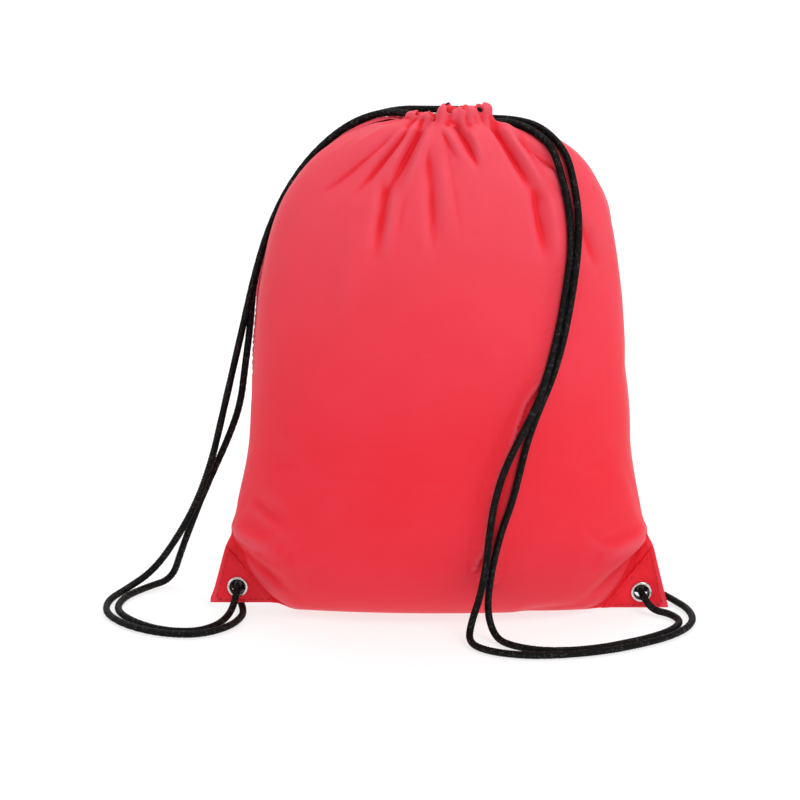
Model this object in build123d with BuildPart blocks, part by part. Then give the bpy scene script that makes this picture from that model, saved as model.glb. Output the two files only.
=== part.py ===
from build123d import *
import math
import os

# A drawstring backpack, stuffed and standing on its bottom edge with the mouth drawn shut.
# The front panel faces -Y, +X is to the right seen from the front, and +Z is up.
# The origin is on the floor, at the middle of the bag.

# --- body: two cloth panels sewn together at the sides and the bottom ---
BODY_HEIGHT = 364.5  # floor to the underside of the casing
BODY_HALF_WIDTH = 155.0  # at its widest, just above the corners
BODY_HALF_DEPTH = 71.0
PANEL_T = 1.0  # cloth, drawn thicker than the real 0.2
MOUTH_SHIFT = 6.0  # how far the gathered mouth sits to the right of the middle

# --- casing: the folded hem round the mouth, with a tunnel for the two cords ---
MOUTH_STRAIGHT = 18.0  # distance between the centres of the mouth's two round ends
MOUTH_BEND = 18.0  # radius that the cords follow round each end
CASING_WALL = 1.0
CORD_D = 5.0
TUNNEL_SIDE_GAP = 1.0  # between a cord and the tunnel's side wall
TUNNEL_END_GAP = 0.25  # above and below the pair of cords
CORD_GAP = 0.5  # between the lower cord and the upper one
FRONT_CASING_LEFT = -16.0  # where the front casing's left end opens
BACK_CASING_LEFT = 0.0
CASING_RIGHT = 28.0  # where both casings open on the right

# --- corners: flat tabs outside the stuffed body, patched on both faces ---
CORNER_OUT = 15.0  # how far a corner stands out past the body's widest place
CORNER_TOP = 50.0  # how far up the side seam the patch reaches
CORNER_TOP_OUT = 4.0  # how far out the patch's top is
CORNER_FOOT_IN = 34.0  # how far in the patch ends along the bottom hem
TAB_ROOT_RISE = 18.0  # how far the tab runs on into the body, above the patch's top
TAB_ROOT_IN = 8.0
TAB_ROOT_FOOT = 10.0  # and inside the patch's foot
CORNER_ROUND = 4.0
LEFT_LIFT = 5.5  # height of the left tab's hem, with a cord under it
RIGHT_LIFT = 1.5
PATCH_T = 1.0

# --- eyelets ---
EYELET_IN = 19.5  # from the corner's outer edge
EYELET_ABOVE_HEM = 13.0
EYELET_BORE_R = 5.2
EYELET_WALL = 0.8
EYELET_RIM_W = 1.9  # from the tube to the rim's edge
EYELET_RIM_T = 1.5
EYELET_LIP_W = 1.0  # from the tube to the edge of the curled end behind
EYELET_FIT = 0.05  # between the eyelet's tube and the holes it goes through
WASHER_T = 0.6

# --- seam allowances, inside ---
SEAM_WIDTH = 8.0
SEAM_T = 1.6

# --- stitches ---
STITCH_LENGTH = 2.6
STITCH_PITCH = 4.5
STITCH_W = 0.6
STITCH_T = 0.4
STITCH_INSET = 2.6  # from the patch's edge

# --- knots ---
KNOT_FACE_R = 8.6
KNOT_R = 10.0
KNOT_LENGTH = 16.0
KNOT_FRONT_Y = 18.0  # how far behind the tab's middle plane a knot starts
KNOT_Z = 13.5
TAIL_LENGTH = 14.0
TAIL_SPREAD = 4.5
TAIL_SINK = 1.0  # how far a tail starts inside the knot
TAIL_SPLAY = 0.3  # sideways and downwards lean of a tail, for each millimetre back
TAIL_DROOP = 0.2

# --- worked out from the sizes above ---
CORD_PITCH = CORD_D + CORD_GAP
TUNNEL_HALF = CORD_D / 2 + TUNNEL_SIDE_GAP
CASING_OUT_R = MOUTH_BEND + TUNNEL_HALF + CASING_WALL
CASING_IN_R = MOUTH_BEND - TUNNEL_HALF - CASING_WALL
TUNNEL_HEIGHT = CORD_PITCH + CORD_D + 2 * TUNNEL_END_GAP
CASING_HEIGHT = TUNNEL_HEIGHT + 2 * CASING_WALL
MOUTH_HALF_LENGTH = MOUTH_STRAIGHT / 2 + CASING_OUT_R
STACK = PANEL_T + PATCH_T
CORNER_REACH = BODY_HALF_WIDTH + CORNER_OUT  # half of the bag's flat width
CORNER_TOP_REACH = BODY_HALF_WIDTH + CORNER_TOP_OUT
CORNER_FOOT = BODY_HALF_WIDTH - CORNER_FOOT_IN
EYELET_X = CORNER_REACH - EYELET_IN
EYELET_TUBE_R = EYELET_BORE_R + EYELET_WALL
EYELET_LIP_R = EYELET_TUBE_R + EYELET_LIP_W
EYELET_RIM_R = EYELET_TUBE_R + EYELET_RIM_W

# The body's level sections, bottom to top: height, half width, half depth and sideways shift, as shares
# of BODY_HEIGHT, BODY_HALF_WIDTH, BODY_HALF_DEPTH and MOUTH_SHIFT. The last one, at the casing, is the
# casing's own size.
SECTIONS = [
    (0.000, 0.697, 0.127, 0.00),
    (0.014, 0.781, 0.352, 0.00),
    (0.038, 0.829, 0.535, 0.00),
    (0.082, 0.910, 0.718, 0.00),
    (0.137, 0.995, 0.859, 0.00),
    (0.220, 0.968, 0.958, 0.00),
    (0.343, 0.916, 1.000, 0.00),
    (0.508, 0.887, 1.000, 0.00),
    (0.645, 0.858, 0.930, 0.00),
    (0.754, 0.813, 0.831, 0.17),
    (0.837, 0.758, 0.718, 0.50),
    (0.900, 0.684, 0.613, 0.70),
    (0.9465, 0.584, 0.514, 0.85),
    (0.9767, 0.465, 0.423, 0.95),
    (0.9918, 0.335, 0.359, 1.00),
]

# Each drawcord is one length: from its knot behind the corner it runs out to the front of the tab, round
# a loose loop on the floor, up to the mouth, once round the casing, and back down the same way.
LEFT_CORD_Z = BODY_HEIGHT + CASING_WALL + TUNNEL_END_GAP + CORD_D / 2 + CORD_PITCH
RIGHT_CORD_Z = LEFT_CORD_Z - CORD_PITCH

LEFT_ROUTE = [
    (-150.5, 23, 8.5),
    (-150, 15, 7),
    (-148.5, 6, 2.9),
    (-146, -9, 2.8),
    (-146, -26, 2.8),
    (-154, -50, 2.8),
    (-175, -69, 2.8),
    (-203, -66, 2.8),
    (-230, -47, 2.8),
    (-248, -18, 2.8),
    (-249, 14, 2.8),
    (-237, 40, 3.4),
    (-217, 50, 15),
    (-198, 44, 43),
    (-182, 34, 74),
    (-170, 25, 108),
    (-161, 20, 146),
    (-152, 16, 184),
    (-143.5, 12, 220),
    (-136, 10, 252),
    (-126.5, 10, 284),
    (-113, 11, 314),
    (-94, 12, 341),
    (-70, 13, 362),
    (-48, 13, 371.5),
    (-30, 5, 374),
    (-21, -7, LEFT_CORD_Z),
    (-10.5, -17.8, LEFT_CORD_Z),
    (6, -18.4, LEFT_CORD_Z),
    (22.5, -18, LEFT_CORD_Z),
    (33, -7.5, LEFT_CORD_Z),
    (33, 7.5, LEFT_CORD_Z),
    (22.5, 18, LEFT_CORD_Z),
    (6, 18.4, LEFT_CORD_Z),
    (-10.5, 17.6, 374),
    (-30, 19, 374),
    (-52, 21, 368.5),
    (-74, 20.5, 356.5),
    (-96, 19.5, 335),
    (-114.5, 17.5, 307),
    (-127.5, 14.5, 277),
    (-137, 13, 246),
    (-139.5, 14.5, 214),
    (-144, 19, 182),
    (-148, 23, 152),
    (-158, 28, 124),
    (-171, 33, 95),
    (-184, 42, 63),
    (-196, 53, 30),
    (-204, 62, 4.5),
    (-222, 47, 2.8),
    (-238, 21, 2.8),
    (-241, -10, 2.8),
    (-226, -38, 2.8),
    (-203, -58.5, 2.8),
    (-179, -62, 2.8),
    (-164, -48, 2.8),
    (-156, -28, 4),
    (-152.5, -12, 8.5),
    (-150.5, -8, 18.5),
    (-150.5, 8, 18.2),
    (-150.5, 23, 18.5),
]

RIGHT_ROUTE = [
    (150.5, 23, 14.5),
    (150.5, 8, 14.8),
    (150.5, -8, 14.5),
    (158, -14, 4),
    (171, -19, 2.8),
    (178, -38, 2.8),
    (168, -60, 2.8),
    (146, -80, 2.8),
    (112, -100, 2.8),
    (76, -107, 2.8),
    (50, -94, 2.8),
    (39, -76, 3.5),
    (33.5, -65, 20),
    (36.5, -67, 50),
    (43, -70.5, 80),
    (51, -71.5, 103),
    (56.5, -70.5, 126),
    (61.5, -69.5, 148),
    (70, -66.5, 171),
    (79.5, -62.5, 193),
    (87, -58, 218),
    (92.5, -52.5, 246),
    (97, -45.5, 275),
    (98.5, -38.5, 303),
    (95, -30, 328),
    (89, -19.5, 350),
    (72.5, -6.5, 365),
    (55, 1.5, 369),
    (36.5, 8, 369),
    (22.5, 17.6, RIGHT_CORD_Z),
    (6, 18.4, RIGHT_CORD_Z),
    (-10.5, 18, RIGHT_CORD_Z),
    (-21, 7.5, RIGHT_CORD_Z),
    (-21, -7.5, RIGHT_CORD_Z),
    (-10.5, -18, RIGHT_CORD_Z),
    (6, -18.4, RIGHT_CORD_Z),
    (22.5, -17.6, RIGHT_CORD_Z),
    (36.5, -8.5, 369),
    (52, -7, 368.3),
    (67, -14, 363),
    (79.5, -24, 353),
    (86, -31.5, 333),
    (91.5, -37.5, 309),
    (93, -43.5, 283),
    (89, -50.5, 256),
    (84.5, -56.5, 230),
    (78, -63, 204),
    (69.5, -71.5, 178),
    (57, -76, 154),
    (45.5, -77, 130),
    (38.5, -76.5, 106),
    (35, -74.5, 82),
    (33, -72, 58),
    (29, -71, 34),
    (22, -71, 12),
    (20, -86, 2.9),
    (31, -104, 2.8),
    (53, -114.5, 2.8),
    (78, -116, 2.8),
    (114, -107.5, 2.8),
    (149, -87.5, 2.8),
    (174, -65, 2.8),
    (187, -38, 2.8),
    (186, -9, 2.8),
    (176, 14, 3.2),
    (164, 24, 7),
    (152, 26, 9.5),
]


def section_sizes(section):
    """One level section in millimetres: height, half width, half depth and shift."""
    height, width, depth, shift = section
    return (height * BODY_HEIGHT, width * BODY_HALF_WIDTH, depth * BODY_HALF_DEPTH, shift * MOUTH_SHIFT)


def outer_sections():
    rows = [section_sizes(section) for section in SECTIONS]
    rows.append((BODY_HEIGHT, MOUTH_HALF_LENGTH, CASING_OUT_R, MOUTH_SHIFT))
    return rows


def inner_sections():
    """The outer sections moved in by the cloth's thickness, square to the surface."""
    rows = outer_sections()
    moved = []
    for i, (height, width, depth, shift) in enumerate(rows):
        below = rows[max(i - 1, 0)]
        above = rows[min(i + 1, len(rows) - 1)]
        rise = above[0] - below[0]
        slopes = [(above[1] - below[1]) / rise, (above[2] - below[2]) / rise]
        slope = max(slopes, key=abs)
        inward = PANEL_T / math.hypot(1, slope)
        upward = PANEL_T * slope / math.hypot(1, slope)
        if i == 0:
            upward = PANEL_T
        if i == len(rows) - 1:
            upward = 0
        moved.append((height + upward, width - inward, depth - inward, shift))
    return moved


def corner_radii(route):
    """For each corner of a route, the largest arc that its two runs allow."""
    points = [Vector(*point) for point in route]
    radii = []
    for before, corner, after in zip(points, points[1:], points[2:]):
        run_in = corner - before
        run_out = after - corner
        half_turn = math.radians(run_in.get_angle(run_out)) / 2
        radii.append(0.45 * min(run_in.length, run_out.length) / math.tan(half_turn))
    return radii


def report_cord(name, route, tube):
    """Print a cord's radii, and its volume beside its section times its length."""
    radii = corner_radii(route)
    length = FilletPolyline(*route, radius=radii, mode=Mode.PRIVATE).length
    section = math.pi * (CORD_D / 2) ** 2
    print(name, "radii:", " ".join(f"{radius:.0f}" for radius in radii))
    print(f"{name}: tightest {min(radii):.1f}, length {length:.0f}, volume share "
          f"{tube.part.volume / (section * length):.4f}")


def casing_ring(radius, height, start):
    """A level slot-shaped block round the mouth, its ends of the given radius."""
    with BuildPart() as ring:
        with BuildSketch(Plane.XY.offset(start)):
            with Locations((MOUTH_SHIFT, 0)):
                SlotCenterToCenter(MOUTH_STRAIGHT, 2 * radius)
        extrude(amount=height)
    return ring.part


def casing_half(side, left_end):
    """One casing: a hollow hem, side -1 at the front and +1 at the back, open at both ends."""
    reach = CASING_RIGHT - left_end
    hem = casing_ring(CASING_OUT_R, CASING_HEIGHT, BODY_HEIGHT)
    mouth = casing_ring(CASING_IN_R, CASING_HEIGHT, BODY_HEIGHT)
    tunnel_out = casing_ring(MOUTH_BEND + TUNNEL_HALF, TUNNEL_HEIGHT, BODY_HEIGHT + CASING_WALL)
    tunnel_in = casing_ring(MOUTH_BEND - TUNNEL_HALF, TUNNEL_HEIGHT, BODY_HEIGHT + CASING_WALL)
    tunnel = tunnel_out - tunnel_in
    with BuildPart() as casing:
        add(hem)
        add(mouth, mode=Mode.SUBTRACT)
        add(tunnel, mode=Mode.SUBTRACT)
        with BuildSketch(Plane.XY.offset(BODY_HEIGHT)):
            with Locations((left_end + reach / 2, side * CASING_OUT_R / 2)):
                Rectangle(reach, CASING_OUT_R)
        extrude(amount=CASING_HEIGHT, mode=Mode.INTERSECT)
    return casing


def corner_outline(side, lift):
    """The flat tab's outline, running on into the body. side is -1 at the left and +1 at the right."""
    return [
        (side * CORNER_REACH, lift),
        (side * CORNER_TOP_REACH, CORNER_TOP),
        (side * (CORNER_TOP_REACH - TAB_ROOT_IN), CORNER_TOP + TAB_ROOT_RISE),
        (side * (CORNER_FOOT - TAB_ROOT_FOOT), CORNER_TOP / 2),
        (side * (CORNER_FOOT - TAB_ROOT_FOOT), lift),
    ]


def patch_outline(side, lift):
    return [
        (side * CORNER_REACH, lift),
        (side * CORNER_TOP_REACH, CORNER_TOP),
        (side * CORNER_FOOT, lift),
    ]


def flat_piece(outline, side, face, inside, outside):
    """A sheet piece of one corner: face is -1 in front and +1 behind, between two depths."""
    with BuildPart() as piece:
        with BuildSketch(Plane.XZ.offset(-face * inside)) as shape:
            with BuildLine():
                Polyline(*outline, close=True)
            make_face()
            tip = shape.vertices().sort_by(Axis.X)[-1 if side > 0 else 0]
            fillet(tip, radius=CORNER_ROUND)
        extrude(amount=-face * (outside - inside))
    return piece.part


def eyelet_plane(side, lift):
    """A level plane through the eyelet's centre: its X is radial, its Y is the eyelet's axis."""
    return Plane(origin=(side * EYELET_X, 0, lift + EYELET_ABOVE_HEM), x_dir=(1, 0, 0), z_dir=(0, 0, 1))


def eyelet_hole(side, lift):
    with BuildPart() as hole:
        with BuildSketch(Plane.XZ.offset(-2 * STACK)):
            with Locations((side * EYELET_X, lift + EYELET_ABOVE_HEM)):
                Circle(EYELET_TUBE_R + EYELET_FIT)
        extrude(amount=4 * STACK)
    return hole.part


def stitch_rows(side, lift):
    """The middle and the direction of each stitch along a patch's three edges."""
    corners = patch_outline(side, lift)
    centre = ((corners[0][0] + corners[1][0] + corners[2][0]) / 3,
              (corners[0][1] + corners[1][1] + corners[2][1]) / 3)
    spots = []
    for start, end in zip(corners, corners[1:] + corners[:1]):
        run = Vector(end[0] - start[0], end[1] - start[1])
        inward = Vector(-run.Y, run.X).normalized()
        if inward.dot(Vector(centre[0] - start[0], centre[1] - start[1])) < 0:
            inward = inward * -1
        usable = run.length - 4 * STITCH_INSET
        count = int(usable / STITCH_PITCH) + 1
        for i in range(count):
            along = (run.length - (count - 1) * STITCH_PITCH) / 2 + i * STITCH_PITCH
            spot = Vector(*start) + run.normalized() * along + inward * STITCH_INSET
            spots.append((spot.X, spot.Y, math.degrees(math.atan2(run.Y, run.X))))
    return spots


# --- the stuffed body as one closed outer form, and the hollow inside it ---

with BuildPart() as body_form:
    for height, width, depth, shift in outer_sections():
        with BuildSketch(Plane.XY.offset(height)):
            with Locations((shift, 0)):
                Ellipse(depth, width, rotation=90)
    loft(ruled=True)

with BuildPart() as hollow:
    for height, width, depth, shift in inner_sections():
        with BuildSketch(Plane.XY.offset(height)):
            with Locations((shift, 0)):
                Ellipse(depth, width, rotation=90)
    loft(ruled=True)
    extrude(hollow.faces().sort_by(Axis.Z)[-1], amount=CASING_HEIGHT)

# --- the whole cloth bag: the body with its two flat tabs, hollowed out ---


def corner_tab(side, lift):
    """Both layers of one flat tab, running on a little way into the body."""
    with BuildPart() as tab:
        with BuildSketch(Plane.XZ.offset(-PANEL_T)) as shape:
            with BuildLine():
                Polyline(*corner_outline(side, lift), close=True)
            make_face()
            fillet(shape.vertices().sort_by(Axis.X)[-1 if side > 0 else 0], radius=CORNER_ROUND)
        extrude(amount=2 * PANEL_T)
    return tab


left_tab = corner_tab(-1, LEFT_LIFT)
right_tab = corner_tab(1, RIGHT_LIFT)
left_hole = eyelet_hole(-1, LEFT_LIFT)
right_hole = eyelet_hole(1, RIGHT_LIFT)

with BuildPart() as bag:
    add(body_form.part)
    add(left_tab.part)
    add(right_tab.part)
    add(left_hole, mode=Mode.SUBTRACT)
    add(right_hole, mode=Mode.SUBTRACT)
    add(hollow.part, mode=Mode.SUBTRACT)

# --- the two panels: the bag parted at its side and bottom seams ---

with BuildPart() as front_panel:
    add(bag.part)
    split(bisect_by=Plane.XZ, keep=Keep.TOP)

with BuildPart() as back_panel:
    add(bag.part)
    split(bisect_by=Plane.XZ, keep=Keep.BOTTOM)

# --- seam allowances: narrow fins inside, where the two panels are sewn together ---


def side_seam(side):
    """The fin along one side seam, from above the tab to below the casing, cut to the hollow."""
    line = [(row[3] + side * row[1], row[0]) for row in inner_sections()[1:-1]]
    inner_edge = [(x - side * SEAM_WIDTH, z) for x, z in line]
    outer_edge = [(x + side * SEAM_WIDTH, z) for x, z in line]
    with BuildPart() as seam:
        with BuildSketch(Plane.XZ):
            with BuildLine():
                Polyline(*inner_edge, *reversed(outer_edge), close=True)
            make_face()
        extrude(amount=SEAM_T / 2, both=True)
        add(hollow.part, mode=Mode.INTERSECT)
    return seam


left_side_seam = side_seam(-1)
right_side_seam = side_seam(1)

with BuildPart() as bottom_seam:
    bottom_half = inner_sections()[1][1] - SEAM_WIDTH
    with BuildSketch(Plane.XY):
        Rectangle(2 * bottom_half, SEAM_T)
    extrude(amount=SEAM_WIDTH + PANEL_T)
    add(hollow.part, mode=Mode.INTERSECT)

# --- casings ---

front_casing = casing_half(-1, FRONT_CASING_LEFT)
back_casing = casing_half(1, BACK_CASING_LEFT)

# --- corner patches, eyelets and washers ---


def corner_patch(side, face, lift):
    triangle = flat_piece(patch_outline(side, lift), side, face, PANEL_T, STACK)
    hole = eyelet_hole(side, lift)
    with BuildPart() as patch:
        add(triangle)
        add(hole, mode=Mode.SUBTRACT)
        add(body_form.part, mode=Mode.SUBTRACT)
    return patch


def eyelet(side, lift):
    """A rolled front rim and a tube, whose far end is rolled back over the washer."""
    plane = eyelet_plane(side, lift)
    back = STACK + WASHER_T
    with BuildPart() as ring:
        with BuildSketch(plane):
            with BuildLine():
                ThreePointArc((EYELET_BORE_R, -STACK - EYELET_RIM_T / 2),
                              ((EYELET_BORE_R + EYELET_RIM_R) / 2, -STACK - EYELET_RIM_T),
                              (EYELET_RIM_R, -STACK))
                Polyline((EYELET_RIM_R, -STACK), (EYELET_TUBE_R, -STACK), (EYELET_TUBE_R, back),
                         (EYELET_LIP_R, back))
                ThreePointArc((EYELET_LIP_R, back),
                              (EYELET_TUBE_R, back + EYELET_RIM_T / 2),
                              (EYELET_BORE_R, back))
                Line((EYELET_BORE_R, back), (EYELET_BORE_R, -STACK - EYELET_RIM_T / 2))
            make_face()
        revolve(axis=Axis(plane.origin, (0, 1, 0)))
    return ring


def washer(side, lift):
    with BuildPart() as ring:
        with BuildSketch(Plane.XZ.offset(-STACK)):
            with Locations((side * EYELET_X, lift + EYELET_ABOVE_HEM)):
                Circle(EYELET_RIM_R)
                Circle(EYELET_TUBE_R + EYELET_FIT, mode=Mode.SUBTRACT)
        extrude(amount=-WASHER_T)
    return ring


def patch_stitches(side, lift):
    """The thread of one corner: a row of stitches along each edge, on both patches."""
    with BuildPart() as stitches:
        for x, z, angle in stitch_rows(side, lift):
            for face in (-1, 1):
                with BuildSketch(Plane.XZ.offset(-face * STACK)):
                    with Locations(Location((x, z), angle)):
                        Rectangle(STITCH_LENGTH, STITCH_W)
                extrude(amount=-face * STITCH_T)
    return stitches


def casing_stitches(side, left_end):
    """The row that closes a casing along its lower edge, on the outside of the hem."""
    level = BODY_HEIGHT + CASING_WALL / 2
    first = left_end + STITCH_LENGTH
    count = int((CASING_RIGHT - STITCH_LENGTH - first) / STITCH_PITCH) + 1
    hem = casing_ring(CASING_OUT_R, CASING_HEIGHT, BODY_HEIGHT)
    with BuildPart() as stitches:
        for i in range(count):
            x = first + i * STITCH_PITCH - MOUTH_SHIFT
            past_straight = max(abs(x) - MOUTH_STRAIGHT / 2, 0)
            depth = side * math.sqrt(CASING_OUT_R ** 2 - past_straight ** 2)
            lean = math.degrees(math.asin(past_straight / CASING_OUT_R))
            turn = -side * math.copysign(lean, x)
            spot = Location((x + MOUTH_SHIFT, depth, level), turn)
            with BuildSketch(Plane(spot)):
                with Locations((0, side * STITCH_T / 2)):
                    Rectangle(STITCH_LENGTH, STITCH_T)
            extrude(amount=STITCH_W)
        add(hem, mode=Mode.SUBTRACT)
    return stitches


left_patch_front = corner_patch(-1, -1, LEFT_LIFT)
left_patch_back = corner_patch(-1, 1, LEFT_LIFT)
right_patch_front = corner_patch(1, -1, RIGHT_LIFT)
right_patch_back = corner_patch(1, 1, RIGHT_LIFT)
left_eyelet = eyelet(-1, LEFT_LIFT)
right_eyelet = eyelet(1, RIGHT_LIFT)
left_washer = washer(-1, LEFT_LIFT)
right_washer = washer(1, RIGHT_LIFT)
left_patch_stitching = patch_stitches(-1, LEFT_LIFT)
right_patch_stitching = patch_stitches(1, RIGHT_LIFT)
front_casing_stitching = casing_stitches(-1, FRONT_CASING_LEFT)
back_casing_stitching = casing_stitches(1, BACK_CASING_LEFT)

# --- drawcords ---


def drawcord(route):
    with BuildPart() as cord:
        with BuildLine() as path:
            FilletPolyline(*route, radius=corner_radii(route))
        with BuildSketch(Plane(origin=path.line @ 0, z_dir=path.line % 0)):
            Circle(CORD_D / 2)
        sweep()
    return cord


left_drawcord = drawcord(LEFT_ROUTE)
right_drawcord = drawcord(RIGHT_ROUTE)
report_cord("left_drawcord", LEFT_ROUTE, left_drawcord)
report_cord("right_drawcord", RIGHT_ROUTE, right_drawcord)

# --- knots: each joins the two ends of its cord, and its two trimmed tails stick out behind ---


def knot(side, cord):
    plane = Plane(origin=(side * EYELET_X, KNOT_FRONT_Y, KNOT_Z), x_dir=(1, 0, 0), z_dir=(0, 0, 1))
    with BuildPart() as lump:
        with BuildSketch(plane):
            with BuildLine():
                Line((0, KNOT_LENGTH), (0, 0))
                Line((0, 0), (KNOT_FACE_R, 0))
                ThreePointArc((KNOT_FACE_R, 0), (KNOT_R, KNOT_LENGTH / 2), (KNOT_FACE_R, KNOT_LENGTH))
                Line((KNOT_FACE_R, KNOT_LENGTH), (0, KNOT_LENGTH))
            make_face()
        revolve(axis=Axis(plane.origin, (0, 1, 0)))
        for spread in (-1, 1):
            tail_x = side * EYELET_X + spread * TAIL_SPREAD
            tail_y = KNOT_FRONT_Y + KNOT_LENGTH - TAIL_SINK
            lean = (spread * TAIL_SPLAY, 1, -TAIL_DROOP)
            with BuildSketch(Plane(origin=(tail_x, tail_y, KNOT_Z), z_dir=lean)):
                Circle(CORD_D / 2)
            extrude(amount=TAIL_LENGTH)
        add(cord.part, mode=Mode.SUBTRACT)
    return lump


left_knot = knot(-1, left_drawcord)
right_knot = knot(1, right_drawcord)

# --- label and write every piece ---

PIECES = {
    "front_panel": front_panel,
    "back_panel": back_panel,
    "front_casing": front_casing,
    "back_casing": back_casing,
    "left_side_seam": left_side_seam,
    "right_side_seam": right_side_seam,
    "bottom_seam": bottom_seam,
    "left_patch_front": left_patch_front,
    "left_patch_back": left_patch_back,
    "right_patch_front": right_patch_front,
    "right_patch_back": right_patch_back,
    "left_eyelet": left_eyelet,
    "right_eyelet": right_eyelet,
    "left_washer": left_washer,
    "right_washer": right_washer,
    "left_patch_stitching": left_patch_stitching,
    "right_patch_stitching": right_patch_stitching,
    "front_casing_stitching": front_casing_stitching,
    "back_casing_stitching": back_casing_stitching,
    "left_drawcord": left_drawcord,
    "right_drawcord": right_drawcord,
    "left_knot": left_knot,
    "right_knot": right_knot,
}

os.makedirs("parts", exist_ok=True)
for label, piece in PIECES.items():
    piece.part.label = label
    export_step(piece.part, f"parts/{label}.step")
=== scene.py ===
# %% [markdown]
# # A drawstring backpack, stuffed and standing
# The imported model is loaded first, as a fixed frame. It already holds the eyelets and washers in their
# right place and size. This lesson adds the cloth, the cords, the knots and the finishes around them.
# One unit is one metre, +Z is up, and the front of the bag faces -Y.

# %% Load the frame
import math

import bmesh
import bpy
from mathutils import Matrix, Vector, noise


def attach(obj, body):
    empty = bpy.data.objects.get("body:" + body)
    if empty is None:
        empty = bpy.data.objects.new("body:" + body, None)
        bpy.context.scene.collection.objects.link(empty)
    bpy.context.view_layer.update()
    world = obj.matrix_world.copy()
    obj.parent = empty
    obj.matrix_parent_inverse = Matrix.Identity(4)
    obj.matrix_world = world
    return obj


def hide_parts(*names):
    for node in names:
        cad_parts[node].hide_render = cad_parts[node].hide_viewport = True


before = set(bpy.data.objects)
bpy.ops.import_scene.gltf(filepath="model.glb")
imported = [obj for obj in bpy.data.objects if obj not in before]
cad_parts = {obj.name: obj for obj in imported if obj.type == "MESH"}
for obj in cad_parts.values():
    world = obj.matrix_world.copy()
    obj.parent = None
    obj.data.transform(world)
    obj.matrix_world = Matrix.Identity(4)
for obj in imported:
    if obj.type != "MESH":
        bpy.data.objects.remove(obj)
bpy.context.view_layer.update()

MM = 0.001

# %% [markdown]
# ## The camera
# A long lens from well back keeps the bag's sides almost parallel. The camera looks slightly down, so
# the cords on the floor read as flat loops. Aiming with to_track_quat saves working out three rotation
# angles by hand.

# %% Camera
AIM = Vector((-0.0294, 0.0, 0.1613))
CAMERA_DISTANCE = 2.3
CAMERA_RISE = math.radians(14)
LENS, SENSOR_WIDTH = 140.8, 36

camera_data = bpy.data.cameras.new("camera")
camera_data.lens = LENS
camera_data.sensor_width = SENSOR_WIDTH
camera = bpy.data.objects.new("camera", camera_data)
bpy.context.scene.collection.objects.link(camera)
away = Vector((0, -math.cos(CAMERA_RISE), math.sin(CAMERA_RISE)))
camera.location = AIM + away * CAMERA_DISTANCE
camera.rotation_euler = (-away).to_track_quat("-Z", "Y").to_euler()
bpy.context.scene.camera = camera
print("camera at", [round(v, 3) for v in camera.location])

# %% [markdown]
# ## The cords' routes
# Each drawcord is one length of limp braid. It starts in its knot behind a bottom corner, comes to the
# front, lies in a loose loop on the floor, climbs to the mouth, runs once round it inside the casing,
# and comes back the same way to the same knot. A quadratic NURBS spline through a few given control
# points gives the even bends of a real cord, so no point of it has to be worked out.

# %% Route points, in millimetres
LEFT_ROUTE = [
    (-150.5, 23, 8.5), (-150, 15, 7), (-148.5, 6, 2.9), (-146, -9, 2.8), (-146, -26, 2.8),
    (-154, -50, 2.8), (-175, -69, 2.8), (-203, -66, 2.8), (-230, -47, 2.8), (-248, -18, 2.8),
    (-249, 14, 2.8), (-237, 40, 3.4), (-217, 50, 15), (-198, 44, 43), (-182, 34, 74),
    (-170, 25, 108), (-161, 20, 146), (-152, 16, 184), (-143.5, 12, 220), (-136, 10, 252),
    (-126.5, 10, 284), (-113, 11, 314), (-94, 12, 341), (-70, 13, 362), (-48, 13, 371.5),
    (-30, 5, 374), (-21, -7, 373.75), (-10.5, -17.8, 373.75), (6, -18.4, 373.75),
    (22.5, -18, 373.75), (33, -7.5, 373.75), (33, 7.5, 373.75), (22.5, 18, 373.75),
    (6, 18.4, 373.75), (-10.5, 17.6, 374), (-30, 19, 374), (-52, 21, 368.5), (-74, 20.5, 356.5),
    (-96, 19.5, 335), (-114.5, 17.5, 307), (-127.5, 14.5, 277), (-137, 13, 246),
    (-139.5, 14.5, 214), (-144, 19, 182), (-148, 23, 152), (-158, 28, 124), (-171, 33, 95),
    (-184, 42, 63), (-196, 53, 30), (-204, 62, 4.5), (-222, 47, 2.8), (-238, 21, 2.8),
    (-241, -10, 2.8), (-226, -38, 2.8), (-203, -58.5, 2.8), (-179, -62, 2.8), (-164, -48, 2.8),
    (-156, -28, 4), (-152.5, -12, 8.5), (-150.5, -8, 18.5), (-150.5, 8, 18.2), (-150.5, 23, 18.5),
]
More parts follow.
